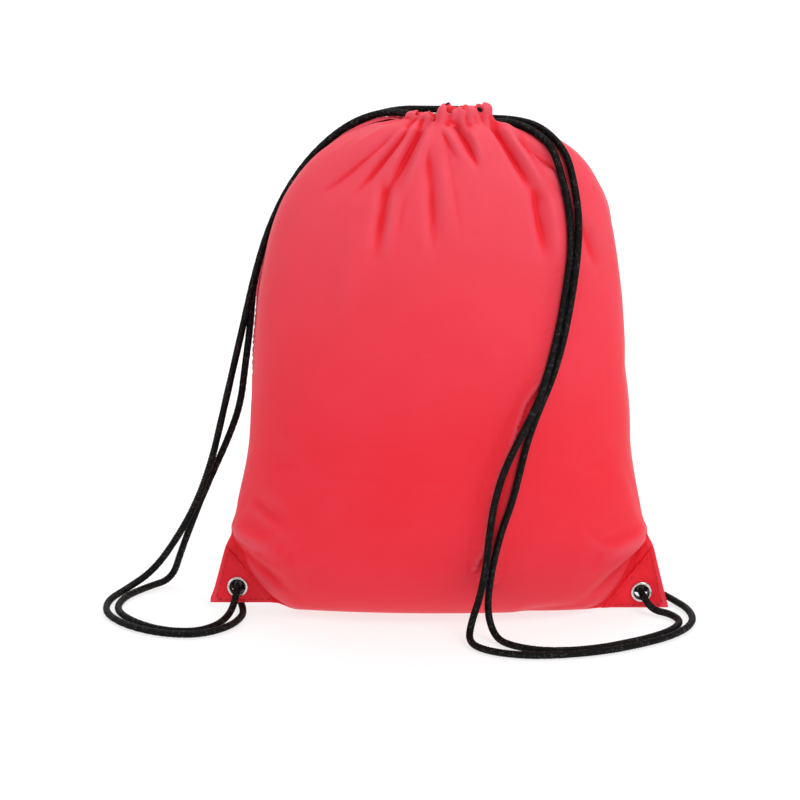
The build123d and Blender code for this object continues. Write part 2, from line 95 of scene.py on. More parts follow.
RIGHT_ROUTE = [
    (150.5, 23, 14.5), (150.5, 8, 14.8), (150.5, -8, 14.5), (158, -14, 4), (171, -19, 2.8),
    (178, -38, 2.8), (168, -60, 2.8), (146, -80, 2.8), (112, -100, 2.8), (76, -107, 2.8),
    (50, -94, 2.8), (39, -76, 3.5), (33.5, -65, 20), (36.5, -67, 50), (43, -70.5, 80),
    (51, -71.5, 103), (56.5, -70.5, 126), (61.5, -69.5, 148), (70, -66.5, 171),
    (79.5, -62.5, 193), (87, -58, 218), (92.5, -52.5, 246), (97, -45.5, 275),
    (98.5, -38.5, 303), (95, -30, 328), (89, -19.5, 350), (72.5, -6.5, 365), (55, 1.5, 369),
    (36.5, 8, 369), (22.5, 17.6, 368.25), (6, 18.4, 368.25), (-10.5, 18, 368.25),
    (-21, 7.5, 368.25), (-21, -7.5, 368.25), (-10.5, -18, 368.25), (6, -18.4, 368.25),
    (22.5, -17.6, 368.25), (36.5, -8.5, 369), (52, -7, 368.3), (67, -14, 363),
    (79.5, -24, 353), (86, -31.5, 333), (91.5, -37.5, 309), (93, -43.5, 283),
    (89, -50.5, 256), (84.5, -56.5, 230), (78, -63, 204), (69.5, -71.5, 178), (57, -76, 154),
    (45.5, -77, 130), (38.5, -76.5, 106), (35, -74.5, 82), (33, -72, 58), (29, -71, 34),
    (22, -71, 12), (20, -86, 2.9), (31, -104, 2.8), (53, -114.5, 2.8), (78, -116, 2.8),
    (114, -107.5, 2.8), (149, -87.5, 2.8), (174, -65, 2.8), (187, -38, 2.8), (186, -9, 2.8),
    (176, 14, 3.2), (164, 24, 7), (152, 26, 9.5),
]
print("route points", len(LEFT_ROUTE), len(RIGHT_ROUTE))

# %% [markdown]
# ## Reading points off a spline
# The spline's resolution sets how many short steps Blender divides it into. Turning the curve, with no
# bevel, into a mesh gives those steps as plain vertices, which the braid follows.


# %% Spline to points
def spline_points(name, route_mm, steps):
    curve = bpy.data.curves.new(name, "CURVE")
    curve.dimensions = "3D"
    spline = curve.splines.new("NURBS")
    spline.points.add(len(route_mm) - 1)
    for point, place in zip(spline.points, route_mm):
        point.co = (*(Vector(place) * MM), 1)
    spline.order_u = 3
    spline.use_endpoint_u = True
    spline.resolution_u = steps
    holder = bpy.data.objects.new(name, curve)
    line = bpy.data.meshes.new_from_object(holder)
    points = [v.co.copy() for v in line.vertices]
    bpy.data.objects.remove(holder)
    bpy.data.curves.remove(curve)
    bpy.data.meshes.remove(line)
    return points


def path_length(points):
    return sum((b - a).length for a, b in zip(points, points[1:]))


CORD_STEPS = 28
left_line = spline_points("left_line", LEFT_ROUTE, CORD_STEPS)
right_line = spline_points("right_line", RIGHT_ROUTE, CORD_STEPS)
print("cord lengths", round(path_length(left_line), 4), round(path_length(right_line), 4))

# %% [markdown]
# ## Small mesh helpers
# Every piece below starts as a list of points and faces worked out by a formula. These helpers turn such
# lists into an object, smooth it by one subdivision that is kept in the mesh, and make all its faces look
# outwards, so that the lesson doesn't repeat those steps.


# %% Mesh helpers
def placed(name, mesh):
    made = bpy.data.objects.new(name, mesh)
    bpy.context.scene.collection.objects.link(made)
    return made


def object_from(name, verts, faces):
    mesh = bpy.data.meshes.new(name)
    mesh.from_pydata(verts, [], faces)
    mesh.polygons.foreach_set("use_smooth", [True] * len(mesh.polygons))
    return placed(name, mesh)


def smooth_once(thing):
    smoother = thing.modifiers.new("smooth", "SUBSURF")
    smoother.levels = smoother.render_levels = 1
    fine = bpy.data.meshes.new_from_object(thing.evaluated_get(bpy.context.evaluated_depsgraph_get()))
    thing.modifiers.clear()
    thing.data = fine
    fine.name = thing.name


def face_outwards(thing):
    bm = bmesh.new()
    bm.from_mesh(thing.data)
    bmesh.ops.recalc_face_normals(bm, faces=bm.faces)
    bm.to_mesh(thing.data)
    bm.free()


# %% [markdown]
# ## Braiding a cord
# A drawcord of this kind is a round braid of eight strands wound each way, passing over and under. Each
# ring of the tube is turned with the line (so that it never twists), and every point of it is pushed out
# where a strand crowns. The same crown height is stored on the mesh, so that the material can paint shade
# into the grooves between the strands and a lighter painted highlight onto the crowns.

# %% Cord sizes
CORD_D = 5.0 * MM
RING_POINTS = 20
STRANDS = 8
BRAID_PITCH = 21 * MM
CROWN = 0.62 * MM
CROWN_MIDDLE = 0.55  # the crown height that lies on the tube's own radius


def braid_crown(turn, along):
    """Height, 0 to 1, of the braid at a share of a turn and a distance along."""
    a = STRANDS * (turn + along / BRAID_PITCH)
    b = STRANDS * (turn - along / BRAID_PITCH)
    across, length_way = a % 1, b % 1
    if (math.floor(a) + math.floor(b)) % 2:
        across, length_way = length_way, across
    return math.sin(math.pi * across) ** 0.8 * (0.55 + 0.45 * math.sin(math.pi * length_way))


# %% Braided tube
def braided_tube(name, points, radius):
    mesh = bpy.data.meshes.new(name)
    bm = bmesh.new()
    crown_layer = bm.verts.layers.float.new("crown")
    heading = (points[1] - points[0]).normalized()
    side = heading.orthogonal().normalized()
    along = 0.0
    rings = []
    for i, point in enumerate(points):
        new_heading = (points[min(i + 1, len(points) - 1)] - points[max(i - 1, 0)]).normalized()
        side = heading.rotation_difference(new_heading) @ side
        side = (side - new_heading * side.dot(new_heading)).normalized()
        heading = new_heading
        up = heading.cross(side)
        if i:
            along += (point - points[i - 1]).length
        ring = []
        for k in range(RING_POINTS):
            turn = k / RING_POINTS
            crown = braid_crown(turn, along)
            reach = radius + CROWN * (crown - CROWN_MIDDLE)
            angle = turn * math.tau
            vert = bm.verts.new(point + (side * math.cos(angle) + up * math.sin(angle)) * reach)
            vert[crown_layer] = crown
            ring.append(vert)
        rings.append(ring)
    for ring, following in zip(rings, rings[1:]):
        for k in range(RING_POINTS):
            n = (k + 1) % RING_POINTS
            bm.faces.new((ring[k], ring[n], following[n], following[k]))
    bm.faces.new(list(reversed(rings[0])))
    bm.faces.new(rings[-1])
    for face in bm.faces:
        face.smooth = True
    bm.to_mesh(mesh)
    bm.free()
    return placed(name, mesh)


left_cord = braided_tube("left_cord", left_line, CORD_D / 2)
right_cord = braided_tube("right_cord", right_line, CORD_D / 2)
print("braid faces", len(left_cord.data.polygons), len(right_cord.data.polygons))

# %% [markdown]
# ## The cords' black polyester
# Black polyester braid is not pure black. Its colour has random grey-brown yarn flecks, a grey-brown painted
# highlight on the strands' crowns and painted shade in the grooves, and a fine noise stands for filaments.


# %% A finish: one material and short ways to add nodes to it
class Finish:
    def __init__(self, name):
        self.material = bpy.data.materials.new(name)
        self.material.use_nodes = True
        self.tree = self.material.node_tree
        self.shader = self.tree.nodes["Principled BSDF"]
        self.spots = self.add("TexCoord").outputs["Object"]

    def add(self, kind, **settings):
        node = self.tree.nodes.new("ShaderNode" + kind)
        for key, value in settings.items():
            if key in node.inputs:
                node.inputs[key].default_value = value
            else:
                setattr(node, key, value)
        return node

    def link(self, source, node, *sockets):
        for socket in sockets:
            self.tree.links.new(source, node.inputs[socket])

    def attribute(self, name, output="Fac"):
        return self.add("Attribute", attribute_name=name).outputs[output]

    def noise(self, vector, scale, detail, roughness=0.5):
        node = self.add("TexNoise", Scale=scale, Detail=detail, Roughness=roughness)
        self.link(vector, node, "Vector")
        return node.outputs["Fac"]

    def math(self, operation, *values):
        node = self.add("Math", operation=operation)
        for index, value in enumerate(values):
            if isinstance(value, (int, float)):
                node.inputs[index].default_value = value
            else:
                self.link(value, node, index)
        return node.outputs[0]

    def ramp(self, source, stops):
        node = self.add("ValToRGB")
        elements = node.color_ramp.elements
        while len(elements) < len(stops):
            elements.new(0.5)
        for element, (place, colour) in zip(elements, stops):
            element.position = place
            element.color = (*colour, 1)
        self.link(source, node, "Fac")
        return node.outputs["Color"]

    def mix(self, share, under, colour):
        node = self.add("MixRGB", Color2=(*colour, 1))
        self.link(share, node, "Fac")
        self.link(under, node, "Color1")
        return node.outputs["Color"]

    def between(self, source, low, high, start=0.0, end=1.0):
        node = self.add("MapRange")
        for socket, value in (("From Min", start), ("From Max", end), ("To Min", low), ("To Max", high)):
            node.inputs[socket].default_value = value
        self.link(source, node, "Value")
        return node.outputs["Result"]

    def bump(self, height, strength, distance, under=None):
        node = self.add("Bump", Strength=strength, Distance=distance)
        self.link(height, node, "Height")
        if under:
            self.link(under, node, "Normal")
        return node.outputs["Normal"]

    def use(self, linked, fixed=()):
        """Join outputs to the shader's sockets, and set the values that are the same all over."""
        for socket, source in linked.items():
            self.link(source, self.shader, socket)
        for socket, value in dict(fixed).items():
            self.shader.inputs[socket].default_value = value
        return self.material


# %% Cord material
def make_cord_material():
    finish = Finish("black_braid")
    crown = finish.attribute("crown")
    fibres = finish.noise(finish.spots, 2600, 2, 0.6)
    yarns = finish.noise(finish.spots, 420, 1)
    # painted highlight on the crowns and painted shade in the grooves, added to random yarn flecks
    flecks_and_painted_crown_light = finish.math("MULTIPLY_ADD", yarns, 0.95, finish.math("SUBTRACT", crown, 0.8))
    height = finish.math("MULTIPLY_ADD", fibres, 0.3, flecks_and_painted_crown_light)
    tone = finish.ramp(height, [(0.3, (0.0006, 0.0006, 0.0006)), (0.62, (0.0045, 0.004, 0.004)),
                                (0.84, (0.095, 0.086, 0.078))])
    return finish.use({"Base Color": tone, "Normal": finish.bump(height, 0.5, 0.0003),
                       "Roughness": finish.between(crown, 0.75, 0.5)}, {"Specular IOR Level": 0.12})


cord_material = make_cord_material()
for cord_piece in (left_cord, right_cord):
    cord_piece.data.materials.append(cord_material)

# %% [markdown]
# ## The stuffed body's form
# The real bag is two flat rectangles of thin polyester sewn along both sides and the bottom, then packed
# with soft filling. Its level sections are therefore near ellipses that shrink towards the mouth, and its
# bottom corners stay flat, outside the filling. The form is built from a short table of sections with a
# smooth curve through them, and each section is divided evenly along its own length, because even
# spacing is what a cloth simulation and a fine weave both need. The topmost rows are the gathered rim:
# it stands up round the casings and stays low at the mouth's ends, where the cords come out.

# %% Sections, in millimetres
BODY_SECTIONS = [  # height, half width, half depth, sideways shift
    (0.0, 108, 9, 0), (5, 121, 25, 0), (14, 128.5, 38, 0), (30, 140, 50.5, 0), (50, 151, 60.5, 0),
    (80, 149, 68, 0), (125, 142.5, 71, 0), (185, 138, 71, 0), (235, 133.5, 66.5, 0),
    (275, 127, 59.5, 1), (305, 119, 52, 3), (328, 107.5, 45, 4), (345, 93.5, 38.5, 4.8),
    (356, 78, 34, 5.4), (362, 65, 31, 5.4), (366.5, 52, 28.6, 5.0), (370, 42, 26.6, 5.2),
    (374, 35, 25.4, 5.8), (378, 32.8, 25.0, 6), (380.6, 32.4, 24.4, 6), (381.6, 30.6, 22.4, 6),
    (381.7, 28.4, 20.2, 6),
]
MOUTH_TOP = 381.7
RIM_FOOT = 366.5  # the gathered rim stands above this height
RIM_TABLE = [  # share of one turn from the left side seam, and how much of the rim's height stands there
    (0.0, 0.14), (0.03, 0.28), (0.06, 0.50), (0.095, 0.66), (0.165, 0.70), (0.205, 1.0), (0.42, 0.98),
    (0.455, 0.12),
    (0.55, 0.12), (0.60, 0.70), (0.77, 0.70), (0.815, 0.12), (1.0, 0.10),
]
TAB_REACH = 170.0
TAB_TOP = 50.0
TAB_TOP_REACH = 158.0
LEFT_HEM, RIGHT_HEM = 5.5, 1.5
TAB_HALF_T = 1.0
HALF_COLUMNS = 110


def section_at(height):
    """Half width, half depth and shift at a height, on a smooth curve through the table."""
    rows = BODY_SECTIONS
    i = 0
    while i < len(rows) - 2 and rows[i + 1][0] <= height:
        i += 1
    low, high = rows[i], rows[i + 1]
    before, after = rows[max(i - 1, 0)], rows[min(i + 2, len(rows) - 1)]
    span = high[0] - low[0]
    t = (height - low[0]) / span
    found = []
    for k in (1, 2, 3):
        start_slope = (high[k] - before[k]) / (high[0] - before[0]) * span
        end_slope = (after[k] - low[k]) / (after[0] - low[0]) * span
        found.append((2 * t**3 - 3 * t**2 + 1) * low[k] + (t**3 - 2 * t**2 + t) * start_slope
                     + (3 * t**2 - 2 * t**3) * high[k] + (t**3 - t**2) * end_slope)
    return found


def ease(value, start, end):
    """0 before start, 1 after end, and a smooth step between them."""
    t = min(max((value - start) / (end - start), 0), 1)
    return t * t * (3 - 2 * t)


def tab_reach(height, hem):
    """How far out the flat corner's side edge is at a height."""
    if height < TAB_TOP:
        return TAB_REACH - (TAB_REACH - TAB_TOP_REACH) * max(height - hem, 0) / (TAB_TOP - hem)
    return TAB_TOP_REACH - 0.55 * (height - TAB_TOP)


# %% One front half section, from the left edge to the right edge
def half_section(height, plump):
    half_width, half_depth, shift = section_at(height)
    half_depth *= plump
    left = max(half_width - shift, tab_reach(height, LEFT_HEM))
    right = max(half_width + shift, tab_reach(height, RIGHT_HEM))
    seam_t = TAB_HALF_T * (1 - 0.6 * ease(height, 60, 110))
    fullness = 1.06 - 0.28 * ease(height, 355, 374)
    dense = []
    steps = 240
    for i in range(steps + 1):
        lean = -math.pi / 2 + math.pi * i / steps
        dense.append((shift + half_width * math.sin(lean),
                      math.hypot(half_depth * max(math.cos(lean), 0) ** fullness, seam_t)))
    flat = 14
    start = [(-left + (left - half_width + shift) * i / flat, seam_t) for i in range(flat)]
    end = [(right - (right - half_width - shift) * i / flat, seam_t) for i in range(flat)]
    line = [(-left - seam_t, 0.0), *start, *dense, *reversed(end), (right + seam_t, 0.0)]
    lengths = [0.0]
    for (x0, y0), (x1, y1) in zip(line, line[1:]):
        lengths.append(lengths[-1] + math.hypot(x1 - x0, y1 - y0))
    even = []
    k = 0
    for i in range(HALF_COLUMNS + 1):
        goal = lengths[-1] * i / HALF_COLUMNS
        while k < len(line) - 2 and lengths[k + 1] < goal:
            k += 1
        share = (goal - lengths[k]) / max(lengths[k + 1] - lengths[k], 1e-9)
        even.append((line[k][0] + (line[k + 1][0] - line[k][0]) * share,
                     line[k][1] + (line[k + 1][1] - line[k][1]) * share))
    return even


# %% Row heights: close together at the rounded foot and at the gathered mouth
ROW_HEIGHTS = [0.0, 0.3, 1.2, 2.6, 4.4, 6.6, 9.2, 12.2, 15.5]
while ROW_HEIGHTS[-1] < 340:
    ROW_HEIGHTS.append(ROW_HEIGHTS[-1] + 4.0)
while ROW_HEIGHTS[-1] < 360:
    ROW_HEIGHTS.append(ROW_HEIGHTS[-1] + 2.2)
ROW_HEIGHTS += [363.0, 364.8, 366.5, 368.2, 370.0, 371.8, 373.6, 375.4, 377.2, 379.0, 380.4, 381.2, 381.6,
                MOUTH_TOP]
FOOT_PLUMP = [0.0, 0.55, 0.85]
COLUMNS = 2 * HALF_COLUMNS
print("rows", len(ROW_HEIGHTS), "columns", COLUMNS)


def hem_height(x):
    """The bottom hem rises a little at each flat corner."""
    hem = LEFT_HEM if x < 0 else RIGHT_HEM
    return hem * ease(abs(x), 106, 124)


def rim_share(share):
    """How much of the rim stands at one place: low where the cords come out, high where a casing is."""
    for (start, low), (end, high) in zip(RIM_TABLE, RIM_TABLE[1:]):
        if share <= end:
            return low + (high - low) * ease(share, start, end)
    return RIM_TABLE[-1][1]


def body_points():
    """Rows of points round the bag in millimetres, starting at the left side seam."""
    rows = []
    for i, height in enumerate(ROW_HEIGHTS):
        half = half_section(height, FOOT_PLUMP[i] if i < len(FOOT_PLUMP) else 1.0)
        if i == 0:
            half = [(x, 0.0) for x, y in half]
        row = [(x, -y) for x, y in half] + [(x, y) for x, y in reversed(half[1:-1])]
        points = []
        for k, (x, y) in enumerate(row):
            z = height + hem_height(x) * max(0, 1 - height / 16)
            if height > RIM_FOOT:
                z = RIM_FOOT + (height - RIM_FOOT) * rim_share(k / COLUMNS)
            points.append(Vector((x, y, z)))
        rows.append(points)
    return rows


form = body_points()
print("widest", round(max(p.x for row in form for p in row), 1), "mm")

# %% [markdown]
# ## Gathers and folds
# A drawstring squeezes 680 mm of cloth into a mouth of about 180 mm, so the cloth stands in gathers that
# fade out downwards, and a few of them run on as long soft folds. They are made as ridges and grooves
# pushed along the surface's own direction outwards. Each fold is a line on the bag with a width and a
# depth, with one flank steeper than the other, as a tuck has.

# %% Gathers round the mouth
GATHERS = 15
GATHER_DEPTH = 2.3
GATHER_FADE = 24.0
RIM_DIP = 3.4


def gather_wave(share):
    """-1 to 1 round the mouth, uneven, and repeating after one turn."""
    turn = share * math.tau
    wander = 0.55 * math.sin(3 * turn + 1.1) + 0.4 * math.sin(5 * turn + 0.3)
    wave = 0.55 * math.sin(GATHERS * turn + wander) + 0.5 * math.sin(9 * turn + 2.0 + 2 * wander)
    return wave + 0.22 * math.sin(31 * turn + 0.7)


# %% Long folds, on the front (-1) or the back (+1): two ends as (x, z), half width and depth, in mm
FOLDS = [
    (-1, (9, 372), (26, 342), 3.2, -4.2), (-1, (2, 368), (16, 346), 3.0, 2.4),
    (-1, (22, 366), (30, 340), 4.5, 2.0),
    (-1, (-14, 371), (-40, 322), 3.4, -4.4), (-1, (-8, 368), (-30, 318), 4.2, 2.6),
    (-1, (-22, 368), (-62, 322), 4.2, -4.2), (-1, (-18, 369), (-50, 330), 3.4, 3.0),
    (-1, (-30, 364), (-88, 318), 5.5, -3.6), (-1, (-27, 366), (-74, 326), 4.0, 2.8),
    (-1, (-40, 332), (-48, 280), 5.0, -3.0), (-1, (-34, 325), (-40, 276), 4.5, 2.0),
    (-1, (-9, 350), (-6, 284), 5.5, -2.6), (-1, (-2, 345), (4, 290), 6.5, 1.6),
    (-1, (36, 371), (66, 322), 3.2, -4.6), (-1, (66, 324), (74, 278), 4.4, -3.6),
    (-1, (45, 366), (78, 318), 4.2, 3.4), (-1, (78, 318), (84, 270), 5.0, 2.0),
    (-1, (52, 362), (96, 322), 4.0, -3.0), (-1, (-60, 300), (-72, 225), 13.0, 1.6),
    (-1, (100, 304), (113, 262), 6.0, -2.4), (-1, (104, 306), (118, 268), 5.0, 1.6),
    (-1, (-118, 130), (-96, 60), 14.0, -1.6), (-1, (118, 135), (100, 70), 15.0, -1.6),
    (-1, (-154, 50), (-108, 18), 6.0, -3.4), (-1, (154, 50), (108, 14), 6.0, -3.4),
    (-1, (-156, 64), (-116, 52), 7.0, 2.4), (-1, (156, 64), (118, 50), 7.0, 2.4),
    (-1, (-138, 92), (-110, 74), 6.0, -1.6), (-1, (60, 4), (112, 8), 4.0, -1.8),
    (1, (8, 370), (18, 330), 3.6, -4.2), (1, (-16, 370), (-42, 316), 4.2, -4.4),
    (1, (30, 369), (60, 312), 4.2, -4.2), (1, (-28, 364), (-84, 306), 5.0, 3.0),
    (1, (46, 364), (90, 306), 5.0, 3.0), (1, (0, 350), (-6, 275), 6.0, -2.6),
    (1, (38, 335), (50, 255), 8.0, -2.0), (1, (-58, 318), (-72, 240), 8.0, -2.2),
    (1, (-100, 304), (-112, 262), 6.0, -2.2), (1, (98, 306), (112, 262), 6.0, -2.2),
    (1, (-154, 50), (-108, 18), 6.0, -3.4), (1, (154, 50), (108, 14), 6.0, -3.4),
    (1, (-120, 130), (-96, 60), 14.0, -1.6), (1, (118, 120), (96, 60), 14.0, -1.6),
]
PACKING_CREASES = [(-1, 214, -75, 100), (-1, 118, -100, 20), (1, 214, -90, 90)]


FOLD_STRENGTH = 1.45


def fold_push(point, face, fold):
    """How far one fold moves a point of the front or the back outwards."""
    side, start, end, half_width, depth = fold
    if side != face:
        return 0.0
    run = Vector(end) - Vector(start)
    away = Vector((point.x, point.z)) - Vector(start)
    along = away.dot(run) / run.length_squared
    if not -0.25 < along < 1.25:
        return 0.0
    across = (away.x * run.y - away.y * run.x) / run.length / half_width
    flank = across * (1.5 if across > 0 else 0.85)
    fade = ease(along, -0.15, 0.2) * (1 - ease(along, 0.45, 1.2))
    return FOLD_STRENGTH * depth * math.exp(-flank * flank) * fade


# %% Push the form out and in
def outward(rows, i, k):
    """The direction square to the surface, outwards, at one point of the grid."""
    level = rows[i][(k + 1) % COLUMNS] - rows[i][k - 1]
    rise = rows[min(i + 1, len(rows) - 1)][k] - rows[max(i - 1, 0)][k]
    square = level.cross(rise)
    return square.normalized() if square.length > 1e-6 else Vector((0, 0, -1))


def folded(rows):
    moved = []
    for i, row in enumerate(rows):
        new_row = []
        for k, point in enumerate(row):
            face = -1 if k <= HALF_COLUMNS else 1
            near_seam = min(k, abs(k - HALF_COLUMNS), COLUMNS - k) / HALF_COLUMNS
            calm = ease(near_seam, 0.0, 0.03) if point.z < 60 else 1.0
            push = sum(fold_push(point, face, fold) for fold in FOLDS) * calm
            for crease_face, level, left, right in PACKING_CREASES:
                if crease_face == face:
                    bend = (point.z - level - 0.02 * point.x) / 2.6
                    inside = ease(point.x, left, left + 25) * (1 - ease(point.x, right - 25, right))
                    push -= 0.7 * bend * math.exp(-bend * bend) * inside
            gather = math.exp((ROW_HEIGHTS[i] - MOUTH_TOP) / GATHER_FADE)
            wave = gather_wave(k / COLUMNS)
            push += GATHER_DEPTH * gather * wave
            over_rim = max(0, (point.z - RIM_FOOT) / (MOUTH_TOP - RIM_FOOT))
            dip = RIM_DIP * over_rim * (0.5 - 0.42 * wave) * (1 if face < 0 else 0.6)
            soft = noise.noise(point * 0.018 + Vector((3, 5, face))) * 1.6
            soft += noise.noise(Vector((point.x * 0.05, face, point.z * 0.03))) * 0.5
            push += soft * ease(point.z, 25, 90) * (1 - 0.6 * ease(point.z, 330, 366))
            new_row.append(point + outward(rows, i, k) * push - Vector((0, 0, dip)))
        moved.append(new_row)
    return moved


gathered_form = folded(form)

# %% [markdown]
# ## Letting the cloth settle
# Folds pushed out by a formula look stiff, because real cloth trades width for depth. So the gathered
# form goes through a short cloth simulation: a second shape, a little larger near the mouth, tells the
# solver how long the threads really are, and a light pressure stands for the filling. The mouth, the foot
# and the flat corners are held. The result is read back as plain points and no point may travel far.

# %% Simulation sizes
SIM_FRAMES = 22
PRESSURE = 2.2
EXTRA_CLOTH = 0.085
CUT_EASE = 1.004
TRAVEL_CAP = 6.5
CLOTH_SETTINGS = {
    "quality": 6, "mass": 0.12, "tension_stiffness": 12, "compression_stiffness": 12, "shear_stiffness": 4,
    "bending_stiffness": 0.12, "tension_damping": 8, "compression_damping": 8, "air_damping": 3,
}


def spare_cloth(height):
    """How much larger than the form the cut cloth is at a height."""
    return CUT_EASE + EXTRA_CLOTH * ease(height, 225, 350) + 0.012 * (1 - ease(height, 20, 110))


def held_share(point, row):
    """1 where the cloth can't move, 0 where it is free."""
    half_width = section_at(min(max(point.z, 0), MOUTH_TOP))[0]
    corner = ease(abs(point.x), half_width - 4, half_width + 3) * (1 - ease(point.z, 52, 74))
    foot = 1 - ease(point.z, 1.5, 9)
    mouth = ease(ROW_HEIGHTS[row], 352, 364)
    return max(corner, foot, mouth)


# %% Simulate and read the points back
def settle(rows):
    mesh = bpy.data.meshes.new("settling_cloth")
    flat = [point for row in rows for point in row]
    faces = [(i * COLUMNS + k, i * COLUMNS + (k + 1) % COLUMNS,
              (i + 1) * COLUMNS + (k + 1) % COLUMNS, (i + 1) * COLUMNS + k)
             for i in range(len(rows) - 1) for k in range(COLUMNS)]
    mesh.from_pydata([point * MM for point in flat], [], faces)
    cloth = placed("settling_cloth", mesh)
    cloth.shape_key_add(name="form")
    cut = cloth.shape_key_add(name="cut")
    held = cloth.vertex_groups.new(name="held")
    for index, point in enumerate(flat):
        spare = spare_cloth(point.z)
        cut.data[index].co = Vector((point.x * spare, point.y * spare, point.z * CUT_EASE)) * MM
        held.add([index], held_share(point, index // COLUMNS), "REPLACE")
    solver = cloth.modifiers.new("cloth", "CLOTH")
    for setting, value in CLOTH_SETTINGS.items():
        setattr(solver.settings, setting, value)
    solver.settings.vertex_group_mass = "held"
    solver.settings.rest_shape_key = cut
    solver.settings.use_pressure = True
    solver.settings.uniform_pressure_force = PRESSURE
    solver.settings.effector_weights.gravity = 0
    solver.collision_settings.use_collision = False
    scene = bpy.context.scene
    scene.frame_end = SIM_FRAMES
    solver.point_cache.frame_end = SIM_FRAMES
    for frame_number in range(1, SIM_FRAMES + 1):
        scene.frame_set(frame_number)
    settled = cloth.evaluated_get(bpy.context.evaluated_depsgraph_get())
    moved = [v.co / MM for v in settled.data.vertices]
    scene.frame_set(1)
    bpy.data.objects.remove(cloth)
    travel = []
    for index, (start, end) in enumerate(zip(flat, moved)):
        step = end - start
        travel.append(step.length)
        if step.length > TRAVEL_CAP:
            moved[index] = start + step * (TRAVEL_CAP / step.length)
    print("settling moved the cloth", round(sum(travel) / len(travel), 2), "mm on average, at most",
          round(max(travel), 2))
    return [moved[i * COLUMNS:(i + 1) * COLUMNS] for i in range(len(rows))]


settled_rows = settle(gathered_form)

# %% [markdown]
# ## Two panels, sewn at the sides
# The settled grid is parted at its side seams into a front and a back panel, as the real cloth is cut.
# Each panel is smoothed with one subdivision, and keeps on every point its place on the flat cut cloth,
# so that the weave follows the cloth round every fold.

# %% Panel meshes
PANEL_WIDTH, PANEL_LENGTH = 340.0, 430.0
EYELET_X, EYELET_RISE = 150.5, 13.0
CLOTH_HOLE_R = 7.0


def panel_rows(rows, face):
    if face < 0:
        return [row[:HALF_COLUMNS + 1] for row in rows]
    return [[row[0]] + list(reversed(row[HALF_COLUMNS:])) for row in rows]


def make_panel(name, rows, face):
    grid = panel_rows(rows, face)
    wide = len(grid[0])
    verts = [point * MM for row in grid for point in row]
    faces = []
    for i in range(len(grid) - 1):
        for k in range(wide - 1):
            quad = (i * wide + k, i * wide + k + 1, (i + 1) * wide + k + 1, (i + 1) * wide + k)
            faces.append(quad if face < 0 else tuple(reversed(quad)))
    panel = object_from(name, verts, faces)
    place = panel.data.attributes.new("cut_place", "FLOAT_VECTOR", "POINT")
    for i in range(len(grid)):
        for k in range(wide):
            spot = (PANEL_WIDTH * k / (wide - 1), PANEL_LENGTH * i / (len(grid) - 1), 0)
            place.data[i * wide + k].vector = Vector(spot) * MM
    smooth_once(panel)
    return panel


def punch_eyelet_holes(panel):
    """Open the cloth under each patch, where the eyelets go through."""
    bm = bmesh.new()
    bm.from_mesh(panel.data)
    punched = []
    for face in bm.faces:
        middle = face.calc_center_median() / MM
        for side, hem in ((-1, LEFT_HEM), (1, RIGHT_HEM)):
            if math.hypot(middle.x - side * EYELET_X, middle.z - hem - EYELET_RISE) < CLOTH_HOLE_R:
                punched.append(face)
    bmesh.ops.delete(bm, geom=punched, context="FACES")
    bm.to_mesh(panel.data)
    bm.free()
    return len(punched)


front_cloth = make_panel("front_cloth", settled_rows, -1)
back_cloth = make_panel("back_cloth", settled_rows, 1)
print("faces punched out", punch_eyelet_holes(front_cloth), punch_eyelet_holes(back_cloth))
print("panel faces", len(front_cloth.data.polygons), len(back_cloth.data.polygons))

# %% [markdown]
# ## The cords press into the cloth
# A cord that leans on a stuffed bag makes a shallow groove and the cloth swells up to meet it. For each
# point near a cord the gap to the cord's middle is measured along the cloth's own direction. Where it is
# too small the cloth goes in, and where the cord would hover the cloth comes out a little. Afterwards
# each point is marked as valley or ridge, from how far it lies from the middle of its neighbours, and
# the cloth's material paints shade into the valleys and sheen onto the ridges from this mark.

# %% Press the cloth
from mathutils.kdtree import KDTree

CORD_REST = 2.75 * MM
PRESS_REACH = 15 * MM
HOVER_LIFT = 5.0 * MM


def cord_tree():
    places = left_line[::3] + right_line[::3]
    tree = KDTree(len(places))
    for index, place in enumerate(places):
        tree.insert(place, index)
    tree.balance()
    return tree


def press_under_cords(panel, tree):
    mesh = panel.data
    directions = [v.normal.copy() for v in mesh.vertices]
    pressed = 0
    for vert, direction in zip(mesh.vertices, directions):
        if vert.co.z < 32 * MM and abs(vert.co.x) > 118 * MM:
            continue
        place, _, distance = tree.find(vert.co)
        if distance > PRESS_REACH:
            continue
        off = place - vert.co
        gap = off.dot(direction)
        aside = (off - direction * gap).length
        if gap < -3 * MM:
            continue
        wanted = CORD_REST - aside * aside / (14 * MM)
        if gap < wanted:
            vert.co -= direction * (wanted - gap)
            pressed += 1
        else:
            lift = min(gap - CORD_REST, HOVER_LIFT) * max(0, 1 - aside / (13 * MM)) ** 2
            vert.co += direction * max(lift, 0)
    mesh.update()
    print(panel.name, "points pressed by cords", pressed)


